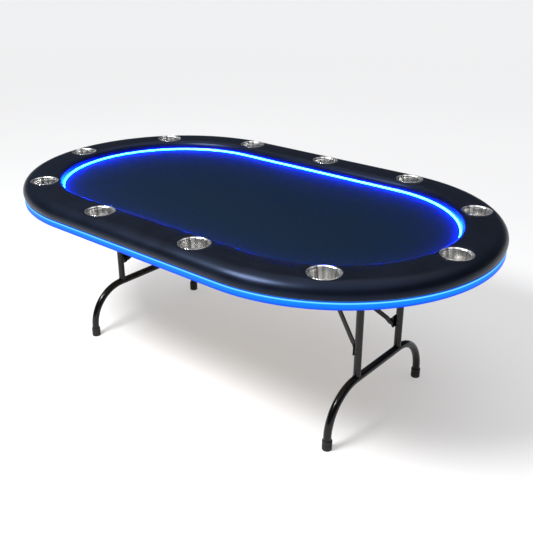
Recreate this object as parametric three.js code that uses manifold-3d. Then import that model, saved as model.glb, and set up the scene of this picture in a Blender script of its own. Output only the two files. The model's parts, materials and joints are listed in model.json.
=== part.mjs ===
// Oval card table with a padded rail, drop-in cups, two light bands and two folding legs.
// Millimetres. +X runs along the table, +Y to the back, +Z up; the floor is z = 0.
import * as THREE from "three";
import { mergeVertices } from "three/addons/utils/BufferGeometryUtils.js";
import Module from "manifold-3d";

const wasm = await Module();
wasm.setup();

// ---- driving dimensions -------------------------------------------------------------------
const tableLength = 2083;
const tableWidth = 1250;
const tableHeight = 762; // floor to the top of the rail
const seat = 0.3; // gap between pieces that touch

// Rail, from the outline inwards
const railWidth = 160;
const railRise = 42; // top of the rail above the playing cloth
const railShoulder = 50; // width of the outer bullnose
const railShoulderDrop = 42; // height of the outer bullnose
const railInnerRound = 26;
const railTuck = 3; // how far the cover draws in below its widest line
const coverThick = 2;
const railBoardThick = 15;
const railBoardSetback = 3; // board edge to the inside of the cover
const spacerThick = 7;

// Playing surface
const clothThick = 2;
const clothFoamThick = 4;
const playBoardThick = 15;
const deckThick = 18;
const deckSetback = 16; // outline to the edge of the deck
const playGap = 0.5; // rail to the edge of the playing surface

// Light bands
const diffuserInset = 3;
const diffuserThick = 3;
const diffuserLip = 31; // screwed flange under the deck
const diffuserLipThick = 2.8;
const tapeThick = 3;
const tapeHeight = 7.5;
const channelHeight = 9.6;
const channelDepth = 6.6;
const channelThick = 1.2;
const innerTapeHeight = 6.3;

// Cups
const cupCount = 11;
const cupOffset = 10; // middle of the rail to the centre of a cup, inwards
const cupCrowding = 0.02; // the cups stand a little closer along the back
const cupBodyRadius = 47;
const cupFlangeWidth = 9;
const cupTaper = 6; // the foot is narrower than the body
const cupDepth = 60;
const cupWall = 1.2;
const cupFlangeSink = 0.5; // flange below the top of the rail
const cupClearance = 1;

// Leg frames
const legX = 650; // centre of the table to a leg's hinge line
const pivotDrop = 50; // underside of the deck to the hinge line
const pivotTubeRadius = 12.5;
const pivotTubeHalf = 205;
const uprightRadius = 14;
const uprightY = 141;
const footTubeRadius = 15;
const footY = 315;
const footBend = 165;
const footRunZ = 212; // height of the foot tube's cross run
const tubeWall = 1.5;
const capWall = 3.2;
const capHeight = 40;
const capSole = 4;
const capChamfer = 1.5;

// Hinge brackets
const sheet = 2.5; // thickness of the pressed brackets
const hingeY = 182;
const hingeWidth = 34;
const hingeFootHalf = 38;
const hingeEarWall = 6.25; // round the tube
const hingeNeck = 26;
const hingeClearance = 0.25;

// Folding brace
const braceDrop = 300; // hinge line to the brace's pivot on the leg
const braceOffset = 27; // leg plane to the plane in which the brace folds
const stayReach = 430; // hinge line to the stay's pivot under the deck
const barHalf = 10; // half the height of the flat bars
const stayThick = 6;
const armThick = 5;
const armGap = 0.6; // stay to each arm
const armTabGap = 0.8; // arm to its tab
const tineLength = 22; // straight end of an arm beside the stay
const armHeel = 18; // straight end of an arm before its pivot
const pinRadius = 4;
const pinClearance = 0.3;
const tabStandOff = 4; // upright to the ear of its tab
const tabHalf = 25;
const tabWidth = 31.5;
const tabEar = 12;
const stayFootHalf = 30;
const stayNeck = 13.5;
const ringLength = 28;
const ringLead = 6; // ring past the knee pin, towards the stay's bracket
const ringWall = 3;
const ringSideGap = 0.8;
const ringTopGap = 4;

// Light controller under the deck
const caseSize = { x: 120, y: 70, z: 28 };
const caseY = 440;
const caseRound = 6;
const caseWall = 2;
const buttonRadius = 6;
const buttonX = -30;
const buttonOut = 3;
const inletX = 30;
const inletRadius = 5.5;
const inletOut = 4;
const inletPinRadius = 1;
const inletMouth = 3;
const inletPinRoot = 1;
const socketDepth = 4; // button and inlet reach this far in from the case's back

// ---- worked-out levels and places ---------------------------------------------------------
const halfStraight = (tableLength - tableWidth) / 2;
const clothTop = tableHeight - railRise;
const clothBottom = clothTop - clothThick;
const clothFoamTop = clothBottom - seat;
const playBoardTop = clothFoamTop - clothFoamThick - seat;
const deckTop = playBoardTop - playBoardThick - seat;
const deckBottom = deckTop - deckThick;
const spacerTop = deckTop + seat + spacerThick;
const railBoardBottom = spacerTop + seat;
const railBoardTop = railBoardBottom + railBoardThick;
const widestZ = tableHeight - railShoulderDrop;
const coverBottom = railBoardBottom + seat;
const coverInside = coverThick + seat;
const railBoardInset = railTuck + coverInside + railBoardSetback;
const diffuserTop = coverBottom - seat;
const diffuserBottom = deckBottom - seat - diffuserLipThick;
const pivotZ = deckBottom - pivotDrop;
const bracketTop = deckBottom - seat;
const cupInset = railWidth / 2 + cupOffset; // outline to the centre of a cup
const cupFlangeRadius = cupBodyRadius + cupFlangeWidth;
const cupFootRadius = cupBodyRadius - cupTaper;

// The brace lies straight from the leg to the deck when open, and folds flat over itself.
const armEnd = new THREE.Vector2(legX - braceOffset, pivotZ - braceDrop);
const stayEnd = new THREE.Vector2(legX - stayReach, pivotZ + braceOffset);
const openSpan = armEnd.distanceTo(stayEnd);
const foldedSpan = stayReach - braceDrop;
const armLength = (openSpan + foldedSpan) / 2;
const stayLength = openSpan - armLength;
const knee = armEnd.clone().lerp(stayEnd, armLength / openSpan);
const braceSlope = Math.atan2(stayEnd.y - armEnd.y, armEnd.x - stayEnd.x);

const arcSegments = 10;
const tubeSegments = 6;
const cupSegments = 16;
const sectionSteps = 2;
const pipeSteps = 28;

// ---- materials ----------------------------------------------------------------------------
const finish = (color, roughness, metalness = 0) => ({ color, roughness, metalness });
const finishes = {
  board: finish(0x9c7c56, 0.8),
  foam: finish(0x3a3a3d, 0.95),
  cloth: finish(0x0a1a2e, 0.9),
  vinyl: finish(0x1b1c20, 0.45),
  light: finish(0x1e7bff, 0.4),
  channel: finish(0xa9adb3, 0.35, 1),
  steel: finish(0xc9cbce, 0.25, 1),
  paint: finish(0x101114, 0.4, 0.3),
  zinc: finish(0xa8abb0, 0.4, 1),
  rubber: finish(0x0c0c0d, 0.8),
  plastic: finish(0x151517, 0.5),
};

// ---- solid helpers ------------------------------------------------------------------------
function toSolid(geometry) {
  const bare = geometry.clone();
  bare.deleteAttribute("normal");
  bare.deleteAttribute("uv");
  const merged = mergeVertices(bare, 1e-3);
  return new wasm.Manifold(
    new wasm.Mesh({
      numProp: 3,
      vertProperties: merged.attributes.position.array,
      triVerts: new Uint32Array(merged.index.array),
    }),
  );
}

function toGeometry(solid) {
  const made = solid.getMesh();
  return new THREE.BufferGeometry()
    .setAttribute("position", new THREE.BufferAttribute(made.vertProperties, 3))
    .setIndex(new THREE.BufferAttribute(made.triVerts, 1));
}

function cut(geometry, ...tools) {
  return toGeometry(tools.reduce((left, tool) => left.subtract(toSolid(tool)), toSolid(geometry)));
}

function join(...pieces) {
  return toGeometry(pieces.map(toSolid).reduce((sum, piece) => sum.add(piece)));
}

function common(first, second) {
  return toGeometry(toSolid(first).intersect(toSolid(second)));
}

const table = new THREE.Group();

function addMesh(group, name, geometry, finishName) {
  const mesh = new THREE.Mesh(geometry, new THREE.MeshStandardMaterial(finishes[finishName]));
  mesh.name = name;
  group.add(mesh);
  return mesh;
}

// A box from its low corner to its high corner.
function block(x0, x1, y0, y1, z0, z1) {
  return new THREE.BoxGeometry(x1 - x0, y1 - y0, z1 - z0).translate(
    (x0 + x1) / 2,
    (y0 + y1) / 2,
    (z0 + z1) / 2,
  );
}

function rodAlongY(radius, y0, y1, x, z) {
  return new THREE.CylinderGeometry(radius, radius, y1 - y0, 2 * tubeSegments).translate(
    x,
    (y0 + y1) / 2,
    z,
  );
}

// A hole along y whose flats, and not only its corners, keep to the radius.
function boreAlongY(radius, y0, y1, x, z) {
  return rodAlongY(radius / Math.cos(Math.PI / (2 * tubeSegments)), y0, y1, x, z);
}

function rodAlongZ(radius, z0, z1, x, y, sides = 2 * tubeSegments) {
  return new THREE.CylinderGeometry(radius, radius, z1 - z0, sides)
    .rotateX(Math.PI / 2)
    .translate(x, y, (z0 + z1) / 2);
}

// A shape drawn in x and z, given a thickness along y.
function plateAcrossY(shape, y0, y1) {
  return new THREE.ExtrudeGeometry(shape, {
    depth: y1 - y0,
    bevelEnabled: false,
    curveSegments: tubeSegments,
  })
    .rotateX(Math.PI / 2)
    .translate(0, y1, 0);
}

function polygon(points) {
  return new THREE.Shape(points.map(([x, y]) => new THREE.Vector2(x, y)));
}

// ---- round-ended outlines -----------------------------------------------------------------
function stadium(inset) {
  const radius = tableWidth / 2 - inset;
  const outline = new THREE.Shape();
  outline.moveTo(-halfStraight, -radius);
  outline.lineTo(halfStraight, -radius);
  outline.absarc(halfStraight, 0, radius, -Math.PI / 2, Math.PI / 2);
  outline.lineTo(-halfStraight, radius);
  outline.absarc(-halfStraight, 0, radius, Math.PI / 2, 1.5 * Math.PI);
  return outline;
}

function board(inset, z0, z1, holes = []) {
  const outline = stadium(inset);
  outline.holes.push(...holes);
  return new THREE.ExtrudeGeometry(outline, {
    depth: z1 - z0,
    bevelEnabled: false,
    curveSegments: arcSegments,
  }).translate(0, 0, z0);
}

// Sweeps a closed section of [inset, z] points once round the table's outline.
function ring(section) {
  const turns = 2 * arcSegments;
  const stations = [];
  for (const end of [1, -1]) {
    for (let i = 0; i <= turns; i++) {
      const angle = (end > 0 ? -0.5 : 0.5) * Math.PI + (i / turns) * Math.PI;
      stations.push({ centre: end * halfStraight, angle });
    }
  }
  const points = [];
  for (const { centre, angle } of stations) {
    for (const [inset, z] of section) {
      const radius = tableWidth / 2 - inset;
      points.push(centre + radius * Math.cos(angle), radius * Math.sin(angle), z);
    }
  }
  const faces = [];
  const across = section.length;
  for (let i = 0; i < stations.length; i++) {
    const next = (i + 1) % stations.length;
    for (let j = 0; j < across; j++) {
      const side = (j + 1) % across;
      const [a, b] = [i * across + j, i * across + side];
      const [c, d] = [next * across + j, next * across + side];
      faces.push(a, d, b, a, c, d);
    }
  }
  return new THREE.BufferGeometry()
    .setAttribute("position", new THREE.Float32BufferAttribute(points, 3))
    .setIndex(faces);
}

// A rectangle as a ring section, drawn so that the ring faces outwards.
const band = (inset0, inset1, z0, z1) => [
  [inset0, z0],
  [inset0, z1],
  [inset1, z1],
  [inset1, z0],
];

// ---- cups' places -------------------------------------------------------------------------
const cupRadius = tableWidth / 2 - cupInset;
const halfLap = 2 * halfStraight + Math.PI * cupRadius;

// A point on the middle line of the rail, a share of half a lap from the back's middle.
function railPoint(share) {
  const way = Math.abs(share) * halfLap;
  const side = Math.sign(share) || 1;
  const turn = THREE.MathUtils.clamp((way - halfStraight) / cupRadius, 0, Math.PI);
  const before = Math.min(way, halfStraight);
  const after = Math.max(way - halfStraight - Math.PI * cupRadius, 0);
  return new THREE.Vector2(
    side * (before - after + cupRadius * Math.sin(turn)),
    cupRadius * Math.cos(turn),
  );
}

const cupPlaces = Array.from({ length: cupCount }, (unused, index) => {
  const step = Math.ceil(index / 2) * (index % 2 ? 1 : -1);
  const even = (2 * step) / cupCount;
  return railPoint(even - Math.sign(even) * cupCrowding * Math.sin(Math.PI * Math.abs(even)));
});

const cupHoles = (radius) =>
  cupPlaces.map((place) => new THREE.Path().absarc(place.x, place.y, radius, 0, 2 * Math.PI));

const cupDrills = (radius) =>
  cupPlaces.map((place) =>
    rodAlongZ(radius, deckTop, tableHeight + cupDepth, place.x, place.y, cupSegments),
  );

// ---- deck and playing surface -------------------------------------------------------------
const playInset = railWidth + playGap;
addMesh(table, "base_deck", board(deckSetback, deckBottom, deckTop), "board");
addMesh(table, "playfield_board", board(playInset, deckTop + seat, playBoardTop), "board");
addMesh(
  table,
  "playfield_foam",
  board(playInset, playBoardTop + seat, playBoardTop + seat + clothFoamThick),
  "foam",
);
addMesh(table, "speed_cloth", board(playInset, clothBottom, clothTop), "cloth");

// ---- rail ---------------------------------------------------------------------------------
const cupDrillRadius = cupBodyRadius + cupClearance;
const ringBoard = (inset, z0, z1) =>
  board(inset, z0, z1, [stadium(railWidth - coverInside), ...cupHoles(cupDrillRadius)]);
addMesh(table, "rail_spacer_ring", ringBoard(deckSetback, deckTop + seat, spacerTop), "board");
addMesh(table, "rail_board", ringBoard(railBoardInset, railBoardBottom, railBoardTop), "board");

// The rail's section from the foot of its outer side, over the top, to the foot of its inner side.
function railSection(inside, outerFoot, innerFoot) {
  const line = new THREE.Path();
  line.moveTo(railTuck + inside, outerFoot);
  line.lineTo(inside, widestZ);
  line.absellipse(
    railShoulder,
    widestZ,
    railShoulder - inside,
    railShoulderDrop - inside,
    Math.PI,
    Math.PI / 2,
    true,
  );
  line.absellipse(
    railWidth - railInnerRound,
    tableHeight - railInnerRound,
    railInnerRound - inside,
    railInnerRound - inside,
    Math.PI / 2,
    0,
    true,
  );
  line.lineTo(railWidth - inside, innerFoot);
  return line.getPoints(sectionSteps).map((point) => [point.x, point.y]);
}

const foamSection = [
  [coverInside, railBoardTop + seat],
  ...railSection(coverInside, railBoardTop + seat, railBoardTop + seat).filter(
    ([, z]) => z > railBoardTop + seat,
  ),
  [railWidth - coverInside, railBoardTop + seat],
];
addMesh(table, "rail_foam", cut(ring(foamSection), ...cupDrills(cupDrillRadius)), "foam");

const coverSection = [
  ...railSection(0, coverBottom, coverBottom),
  ...railSection(coverThick, coverBottom, coverBottom).reverse(),
];
addMesh(
  table,
  "rail_vinyl",
  cut(ring(coverSection), ...cupDrills(cupFlangeRadius + cupClearance)),
  "vinyl",
);

// ---- light bands --------------------------------------------------------------------------
const channelInset = railWidth + seat;
const channelFloor = clothTop + seat;
addMesh(
  table,
  "inner_led_channel",
  ring([
    [channelInset, channelFloor],
    [channelInset, channelFloor + channelHeight],
    [channelInset + channelThick, channelFloor + channelHeight],
    [channelInset + channelThick, channelFloor + channelThick],
    [channelInset + channelDepth, channelFloor + channelThick],
    [channelInset + channelDepth, channelFloor],
  ]),
  "channel",
);
const innerTapeInset = channelInset + channelThick + seat;
const innerTapeFloor = channelFloor + channelThick + seat;
const innerTapeTop = innerTapeFloor + innerTapeHeight;
const innerTapeEdge = channelInset + channelDepth;
addMesh(
  table,
  "inner_led_strip",
  ring([
    [innerTapeInset, innerTapeFloor],
    [innerTapeInset, innerTapeTop],
    [(innerTapeInset + innerTapeEdge) / 2, innerTapeTop],
    [innerTapeEdge, (innerTapeFloor + innerTapeTop) / 2],
    [innerTapeEdge, innerTapeFloor],
  ]),
  "light",
);
const outerTapeTop = spacerTop - seat;
addMesh(
  table,
  "outer_led_strip",
  ring(
    band(
      deckSetback - seat - tapeThick,
      deckSetback - seat,
      outerTapeTop - tapeHeight,
      outerTapeTop,
    ),
  ),
  "light",
);
addMesh(
  table,
  "outer_led_diffuser",
  ring([
    [diffuserInset, diffuserBottom],
    [diffuserInset, diffuserTop],
    [diffuserInset + diffuserThick, diffuserTop],
    [diffuserInset + diffuserThick, diffuserBottom + diffuserLipThick],
    [diffuserInset + diffuserLip, diffuserBottom + diffuserLipThick],
    [diffuserInset + diffuserLip, diffuserBottom],
  ]),
  "light",
);

// ---- cups ---------------------------------------------------------------------------------
const cupTop = tableHeight - cupFlangeSink;
const cupFlangeThick = coverThick - cupFlangeSink; // it rests on the foam
const cupFloor = cupTop - cupDepth;
const cupProfile = [
  [0, cupFloor],
  [cupFootRadius, cupFloor],
  [cupBodyRadius, cupTop - cupFlangeThick],
  [cupFlangeRadius, cupTop - cupFlangeThick],
  [cupFlangeRadius, cupTop],
  [cupBodyRadius - cupWall, cupTop],
  [cupFootRadius - cupWall, cupFloor + cupWall],
  [0, cupFloor + cupWall],
].map(([radius, z]) => new THREE.Vector2(radius, z));

cupPlaces.forEach((place, index) => {
  const name = "cup_holder_" + String(index + 1).padStart(2, "0");
  const shell = new THREE.LatheGeometry(cupProfile, cupSegments).rotateX(Math.PI / 2);
  addMesh(table, name, shell, "steel").position.set(place.x, place.y, 0);
});

// ---- light controller ---------------------------------------------------------------------
function addController() {
  const { x, y, z } = caseSize;
  const outline = new THREE.Shape();
  const [halfX, halfY] = [x / 2, y / 2];
  const [flatX, flatY] = [halfX - caseRound, halfY - caseRound];
  outline.moveTo(-flatX, -halfY);
  outline.absarc(flatX, -flatY, caseRound, -Math.PI / 2, 0);
  outline.absarc(flatX, flatY, caseRound, 0, Math.PI / 2);
  outline.absarc(-flatX, flatY, caseRound, Math.PI / 2, Math.PI);
  outline.absarc(-flatX, -flatY, caseRound, Math.PI, 1.5 * Math.PI);
  const body = new THREE.ExtrudeGeometry(outline, {
    depth: z,
    bevelEnabled: false,
    curveSegments: 2,
  }).translate(0, caseY, bracketTop - z);
  const hollow = block(
    caseWall - halfX,
    halfX - caseWall,
    caseY - halfY + caseWall,
    caseY + halfY - caseWall,
    bracketTop - z + caseWall,
    bracketTop + seat,
  );
  const middle = bracketTop - z / 2;
  const back = caseY + halfY;
  const through = back - socketDepth;
  const shell = cut(
    body,
    hollow,
    boreAlongY(buttonRadius + seat, through, back + caseWall, buttonX, middle),
    boreAlongY(inletRadius + seat, through, back + caseWall, inletX, middle),
  );
  addMesh(table, "controller_case", shell, "plastic");
  const button = rodAlongY(buttonRadius, through, back + buttonOut, buttonX, middle);
  addMesh(table, "power_button", button, "plastic");
  const mouthFloor = back - caseWall;
  const socket = join(
    cut(
      rodAlongY(inletRadius, through, back + inletOut, inletX, middle),
      rodAlongY(inletMouth, mouthFloor, back + 2 * inletOut, inletX, middle),
    ),
    rodAlongY(inletPinRadius, mouthFloor - inletPinRoot, back + inletOut - seat, inletX, middle),
  );
  addMesh(table, "power_inlet", socket, "zinc");
}
addController();

// ---- leg frames ---------------------------------------------------------------------------
// A flat path in y and z, carried at the leg's x.
class LegPath extends THREE.Curve {
  constructor(outline) {
    super();
    this.outline = outline;
  }
  getPoint(t, target = new THREE.Vector3()) {
    const point = this.outline.getPointAt(t);
    return target.set(legX, point.x, point.y);
  }
}

function pipe(path, radius, steps) {
  const wall = new THREE.Shape().absarc(0, 0, radius, 0, 2 * Math.PI);
  wall.holes.push(new THREE.Path().absarc(0, 0, radius - tubeWall, 0, 2 * Math.PI));
  return new THREE.ExtrudeGeometry(wall, {
    extrudePath: path,
    steps,
    curveSegments: tubeSegments,
  });
}

function footTube() {
  const line = new THREE.Path();
  const bendY = footY - footBend;
  const bendZ = footRunZ - footBend;
  line.moveTo(-footY, capSole + seat);
  line.lineTo(-footY, bendZ);
  line.absarc(-bendY, bendZ, footBend, Math.PI, Math.PI / 2, true);
  line.absarc(bendY, bendZ, footBend, Math.PI / 2, 0, true);
  line.lineTo(footY, capSole + seat);
  return pipe(new LegPath(line), footTubeRadius, pipeSteps);
}

function upright(y) {
  const reach = footTubeRadius + uprightRadius;
  return cut(
    rodAlongZ(uprightRadius, footRunZ, pivotZ, legX, y),
    rodAlongZ(uprightRadius - tubeWall, footRunZ - reach, pivotZ + reach, legX, y),
    boreAlongY(footTubeRadius + seat, y - reach, y + reach, legX, footRunZ),
    boreAlongY(pivotTubeRadius + seat, y - reach, y + reach, legX, pivotZ),
  );
}

function pivotTube() {
  return cut(
    rodAlongY(pivotTubeRadius, -pivotTubeHalf, pivotTubeHalf, legX, pivotZ),
    rodAlongY(pivotTubeRadius - tubeWall, -2 * pivotTubeHalf, 2 * pivotTubeHalf, legX, pivotZ),
  );
}

function footCap(y) {
  const bore = footTubeRadius + seat;
  const capRadius = bore + capWall;
  const profile = [
    [0, 0],
    [capRadius - capChamfer, 0],
    [capRadius, capChamfer],
    [capRadius, capHeight],
    [bore, capHeight],
    [bore, capSole],
    [0, capSole],
  ].map(([radius, z]) => new THREE.Vector2(radius, z));
  return new THREE.LatheGeometry(profile, 2 * tubeSegments).rotateX(Math.PI / 2).translate(legX, y, 0);
}

// A pressed bracket under the deck: a flat foot, and two ears round an axis along y.
function deckBracket({ x, z, footHalf, neck, ear, y0, y1, earGap, bore }) {
  const outline = new THREE.Shape();
  outline.moveTo(x - footHalf, bracketTop);
  outline.lineTo(x - footHalf, bracketTop - sheet);
  outline.lineTo(x - neck, bracketTop - sheet);
  outline.lineTo(x - ear, z);
  outline.absarc(x, z, ear, Math.PI, 2 * Math.PI);
  outline.lineTo(x + neck, bracketTop - sheet);
  outline.lineTo(x + footHalf, bracketTop - sheet);
  outline.lineTo(x + footHalf, bracketTop);
  const middle = (y0 + y1) / 2;
  return cut(
    plateAcrossY(outline, y0, y1),
    block(
      x - 2 * footHalf,
      x + 2 * footHalf,
      middle - earGap,
      middle + earGap,
      z - 2 * ear,
      bracketTop - sheet,
    ),
    boreAlongY(bore, y0 - sheet, y1 + sheet, x, z),
  );
}

function hingeBracket(y) {
  const bore = pivotTubeRadius + hingeClearance;
  return deckBracket({
    x: legX,
    z: pivotZ,
    footHalf: hingeFootHalf,
    neck: hingeNeck,
    ear: bore + hingeEarWall,
    y0: y - hingeWidth / 2,
    y1: y + hingeWidth / 2,
    earGap: hingeWidth / 2 - sheet,
    bore,
  });
}

// ---- folding brace ------------------------------------------------------------------------
const armInside = stayThick / 2 + armGap;
const tabInside = uprightY - uprightRadius - tabStandOff - sheet;
const armOutside = tabInside - armTabGap;
const pinBore = pinRadius + pinClearance;

// Its foot lies on the inner face of an upright, and its ear carries the end of an arm.
function braceTab(side) {
  const face = legX - uprightRadius - seat;
  const ear = new THREE.Shape();
  ear.moveTo(face - sheet / 2, armEnd.y - tabHalf);
  ear.lineTo(face - sheet / 2, armEnd.y + tabHalf);
  ear.lineTo(armEnd.x, armEnd.y + tabEar);
  ear.absarc(armEnd.x, armEnd.y, tabEar, Math.PI / 2, 1.5 * Math.PI);
  const span = (near, far) => [Math.min(side * near, side * far), Math.max(side * near, side * far)];
  const [earLow, earHigh] = span(tabInside, tabInside + sheet);
  const [footLow, footHigh] = span(tabInside, tabInside + tabWidth);
  return cut(
    join(
      plateAcrossY(ear, earLow, earHigh),
      block(face - sheet, face, footLow, footHigh, armEnd.y - tabHalf, armEnd.y + tabHalf),
    ),
    boreAlongY(pinBore, earLow - sheet, earHigh + sheet, armEnd.x, armEnd.y),
  );
}

// A bar's side view: round ends about two pins, with the first pin at the origin.
function barSide(length, y0, y1) {
  const outline = new THREE.Shape();
  outline.absarc(0, 0, barHalf, Math.PI / 2, 1.5 * Math.PI);
  outline.absarc(length, 0, barHalf, -Math.PI / 2, Math.PI / 2);
  return plateAcrossY(outline, y0, y1);
}

const pinHole = (x) => boreAlongY(pinBore, -2 * uprightY, 2 * uprightY, x, 0);

// Drawn along +x from the knee to the leg, then laid along the brace.
function braceArm(side) {
  const heel = armLength - armHeel;
  const end = armLength + 2 * barHalf;
  const plan = polygon([
    [-2 * barHalf, side * armInside],
    [tineLength, side * armInside],
    [heel, side * (armOutside - armThick)],
    [end, side * (armOutside - armThick)],
    [end, side * armOutside],
    [heel, side * armOutside],
    [tineLength, side * (armInside + armThick)],
    [-2 * barHalf, side * (armInside + armThick)],
  ]);
  const flat = new THREE.ExtrudeGeometry(plan, { depth: 4 * barHalf, bevelEnabled: false });
  flat.translate(0, 0, -2 * barHalf);
  return cut(
    common(flat, barSide(armLength, -uprightY, uprightY)),
    pinHole(0),
    pinHole(armLength),
  );
}

// Drawn along +x from the knee to the bracket under the deck.
function stayBar() {
  return cut(barSide(stayLength, -stayThick / 2, stayThick / 2), pinHole(0), pinHole(stayLength));
}

function lockRing() {
  const innerY = armInside + armThick + ringSideGap;
  const innerZ = barHalf + ringTopGap;
  const [outerY, outerZ] = [innerY + ringWall, innerZ + ringWall];
  const low = ringLead - ringLength;
  return cut(
    block(low, ringLead, -outerY, outerY, -outerZ, outerZ),
    block(low - ringWall, ringLead + ringWall, -innerY, innerY, -innerZ, innerZ),
  );
}

function stayBracket() {
  return deckBracket({
    x: stayEnd.x,
    z: stayEnd.y,
    footHalf: stayFootHalf,
    neck: stayNeck,
    ear: barHalf,
    y0: -armInside - sheet - armGap,
    y1: armInside + sheet + armGap,
    earGap: armInside + armGap,
    bore: pinBore,
  });
}

const rows = [
  ["front", -1],
  ["back", 1],
];

function addLeg(side, direction) {
  const leg = new THREE.Group();
  leg.scale.x = direction;
  table.add(leg);
  const named = (name) => name + "_" + side;
  addMesh(leg, named("foot_tube"), footTube(), "paint");
  addMesh(leg, named("pivot_tube"), pivotTube(), "paint");
  for (const [row, sign] of rows) {
    addMesh(leg, named("upright_" + row), upright(sign * uprightY), "paint");
    addMesh(leg, named("foot_cap_" + row), footCap(sign * footY), "rubber");
    addMesh(leg, named("hinge_bracket_" + row), hingeBracket(sign * hingeY), "zinc");
    addMesh(leg, named("brace_tab_" + row), braceTab(sign), "paint");
  }
  const toLeg = new THREE.Group();
  toLeg.position.set(knee.x, 0, knee.y);
  toLeg.rotation.y = braceSlope;
  leg.add(toLeg);
  for (const [row, sign] of rows) {
    addMesh(toLeg, named("brace_arm_" + row), braceArm(sign), "paint");
  }
  const pinHalf = armInside + armThick;
  addMesh(toLeg, named("knee_pin"), rodAlongY(pinRadius, -pinHalf, pinHalf, 0, 0), "zinc");
  const toDeck = new THREE.Group();
  toDeck.position.copy(toLeg.position);
  toDeck.rotation.y = braceSlope + Math.PI;
  leg.add(toDeck);
  addMesh(toDeck, named("stay_bar"), stayBar(), "paint");
  addMesh(toDeck, named("lock_ring"), lockRing(), "zinc");
  addMesh(leg, named("stay_bracket"), stayBracket(), "zinc");
  const stayPinHalf = armInside + armGap + 2 * sheet;
  const stayPin = rodAlongY(pinRadius, -stayPinHalf, stayPinHalf, stayEnd.x, stayEnd.y);
  addMesh(leg, named("stay_pin"), stayPin, "zinc");
}

addLeg("right", 1);
addLeg("left", -1);

export default table;
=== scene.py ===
import json
import math

import bmesh
import bpy
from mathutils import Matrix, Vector


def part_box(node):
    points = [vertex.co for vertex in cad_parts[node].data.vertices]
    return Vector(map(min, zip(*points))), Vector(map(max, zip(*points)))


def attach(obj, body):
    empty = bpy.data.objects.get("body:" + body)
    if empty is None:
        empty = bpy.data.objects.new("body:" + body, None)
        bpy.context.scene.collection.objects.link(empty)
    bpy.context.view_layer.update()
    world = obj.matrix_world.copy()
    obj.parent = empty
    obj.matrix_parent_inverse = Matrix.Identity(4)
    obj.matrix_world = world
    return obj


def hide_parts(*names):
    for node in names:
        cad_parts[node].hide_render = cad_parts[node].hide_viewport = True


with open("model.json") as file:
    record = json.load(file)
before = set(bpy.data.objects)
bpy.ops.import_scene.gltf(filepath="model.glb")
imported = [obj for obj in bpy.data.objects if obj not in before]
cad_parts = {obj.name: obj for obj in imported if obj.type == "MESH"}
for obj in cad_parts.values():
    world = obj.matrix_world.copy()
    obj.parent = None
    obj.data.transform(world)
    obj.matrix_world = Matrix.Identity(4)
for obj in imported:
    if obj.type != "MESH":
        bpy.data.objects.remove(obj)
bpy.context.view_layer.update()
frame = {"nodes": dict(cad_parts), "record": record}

# An oval card table: padded rail with steel cups, speed cloth, two light bands, two folding legs.
# Metres, in the frame's own axes: +X along the table, +Y to the back, +Z up.
# Sizes below are the ones that the frame's boxes can't give.
MM = 0.001

# ---- places read from the frame
def centre(node):
    low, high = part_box(node)
    return (low + high) / 2


rail_low, rail_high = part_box("rail_vinyl")
half_length = rail_high.x
half_width = rail_high.y
half_straight = half_length - half_width
rail_top = rail_high.z
rail_bottom = rail_low.z
cloth_low, cloth_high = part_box("speed_cloth")
cloth_top = cloth_high.z
body_of = {
    node: body for body, nodes in frame["record"]["behaviour"]["bodies"].items() for node in nodes
}
cup_names = sorted(name for name in frame["nodes"] if name.startswith("cup_holder_"))
cup_centres = {name: centre(name) for name in cup_names}

# ---- sizes of the soft rail
RAIL_WIDTH = 160 * MM
SHOULDER_WIDTH = 50 * MM  # outer bullnose
SHOULDER_DROP = 42 * MM
INNER_ROUND = 26 * MM
RAIL_TUCK = 3 * MM  # the cover draws in below its widest line
RAIL_CROWN = 1.6 * MM  # foam stands a little proud between the shoulders
VINYL_THICK = 1.2 * MM
HEM_ROUND = 2.5 * MM
SHOULDER_STEPS = 14
CROWN_STEPS = 15
RAIL_STEP = 5.5 * MM  # spacing of the cover's mesh along the rail
DIMPLE_EDGE = 55 * MM  # the cup's flange presses the vinyl down inside this radius
DIMPLE_REACH = 84 * MM
CUP_CUT = 51 * MM  # hole in the vinyl, under the flange
PUCKER_DEPTH = 0.22 * MM
PUCKER_COUNT = 13

# ---- sizes of the cups
CUP_WALL = 1.2 * MM
CUP_BODY = 47 * MM
CUP_FOOT = 41 * MM
CUP_FLANGE = 56 * MM
FLANGE_BEAD = 0.75 * MM
# The lip's curve, as (out from the body, down from the flange) in mm: its underside and its top.
LIP_UNDER = [(0, 4.5), (0.4, 2.2), (1.4, 0.7), (2.6, 0)]
LIP_OVER = [
    (7.6, 0.3), (6.3, 0.03), (5.1, 0), (3.9, 0.2), (2.7, 0.75),
    (1.5, 1.6), (0.3, 3), (-0.6, 4.8), (-1.2, 7),
]
CUP_SHARP = 50
LATHE_STEPS = 96

# ---- sizes of the light bands
DIFFUSER_WALL = 3 * MM
DIFFUSER_LIP = 31 * MM
DIFFUSER_LIP_THICK = 2.8 * MM
DIFFUSER_ROUND = 1.2 * MM
CHANNEL_WALL = 1.2 * MM
BAND_STEP = 12 * MM

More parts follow.
